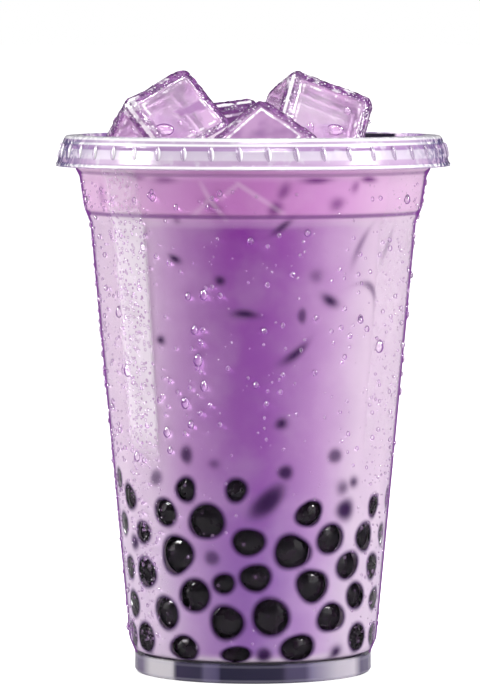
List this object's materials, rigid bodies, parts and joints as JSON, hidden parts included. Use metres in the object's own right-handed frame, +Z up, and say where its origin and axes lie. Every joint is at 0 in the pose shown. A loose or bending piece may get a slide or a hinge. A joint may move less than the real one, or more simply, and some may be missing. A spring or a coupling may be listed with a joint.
{
  "type": "iced bubble tea in a cup",
  "caption": "Iced taro milk tea with black tapioca pearls in a clear tapered takeaway cup, with ice cubes standing out of an open push-fit lid ring.",
  "frame": {"origin": "centre of the cup's foot ring, on the surface the cup stands on", "axes": "+Z up along the cup's axis, -Y towards the side that faces the viewer, +X to the viewer's right"},
  "size_m": [0.1028, 0.1028, 0.1569],
  "materials": {
    "clear_cup": "clear thin plastic with fine condensation",
    "clear_lid": "clear thin plastic, polished",
    "taro_milk_tea": "opaque milky liquid, wet",
    "tapioca": "black, wet and glossy",
    "ice": "clear ice with frosted rounded edges"
  },
  "bodies": {
    "root": {"cup": "clear_cup", "lid_ring": "clear_lid", "milk_tea": "taro_milk_tea", "tapioca_pearls": "tapioca", "ice_left": "ice", "ice_right": "ice", "ice_front": "ice", "ice_back": "ice"}
  },
  "joints": []
}
